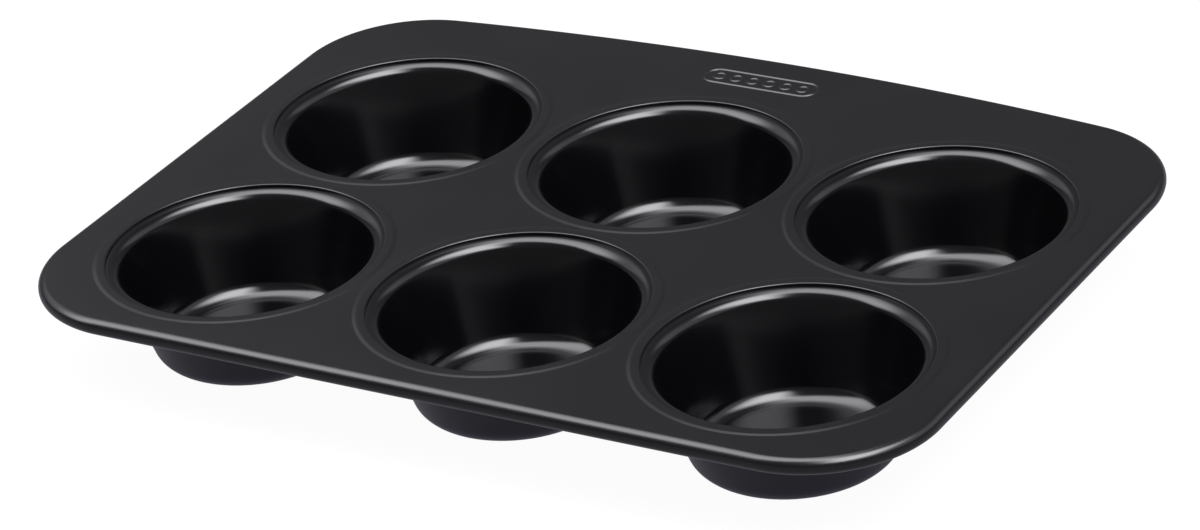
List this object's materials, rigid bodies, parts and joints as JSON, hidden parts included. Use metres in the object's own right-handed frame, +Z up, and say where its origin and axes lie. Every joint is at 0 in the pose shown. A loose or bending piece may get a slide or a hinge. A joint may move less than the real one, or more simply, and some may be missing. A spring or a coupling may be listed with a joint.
{
  "type": "muffin tin",
  "caption": "Rectangular coated steel baking tray with round tapered cups set in two rows, a wired rim and a wider bowed back margin to hold it by.",
  "frame": {"origin": "centre of the overall box in plan, at the height of the cup bases, which the tin stands on", "axes": "+X along the long side, -Y towards the straight front edge, +Y towards the bowed back edge with the plaque, +Z up"},
  "size_m": [0.274, 0.2042, 0.0292],
  "materials": {
    "plate_coating": "satin non-stick coating, near black",
    "cup_coating": "glossy non-stick coating, near black",
    "wire_steel": "bright drawn steel wire"
  },
  "bodies": {
    "root": {"top_plate": "plate_coating", "rim_wire": "wire_steel", "cup_front_left": "cup_coating", "cup_front_centre": "cup_coating", "cup_front_right": "cup_coating", "cup_back_left": "cup_coating", "cup_back_centre": "cup_coating", "cup_back_right": "cup_coating"}
  },
  "joints": []
}
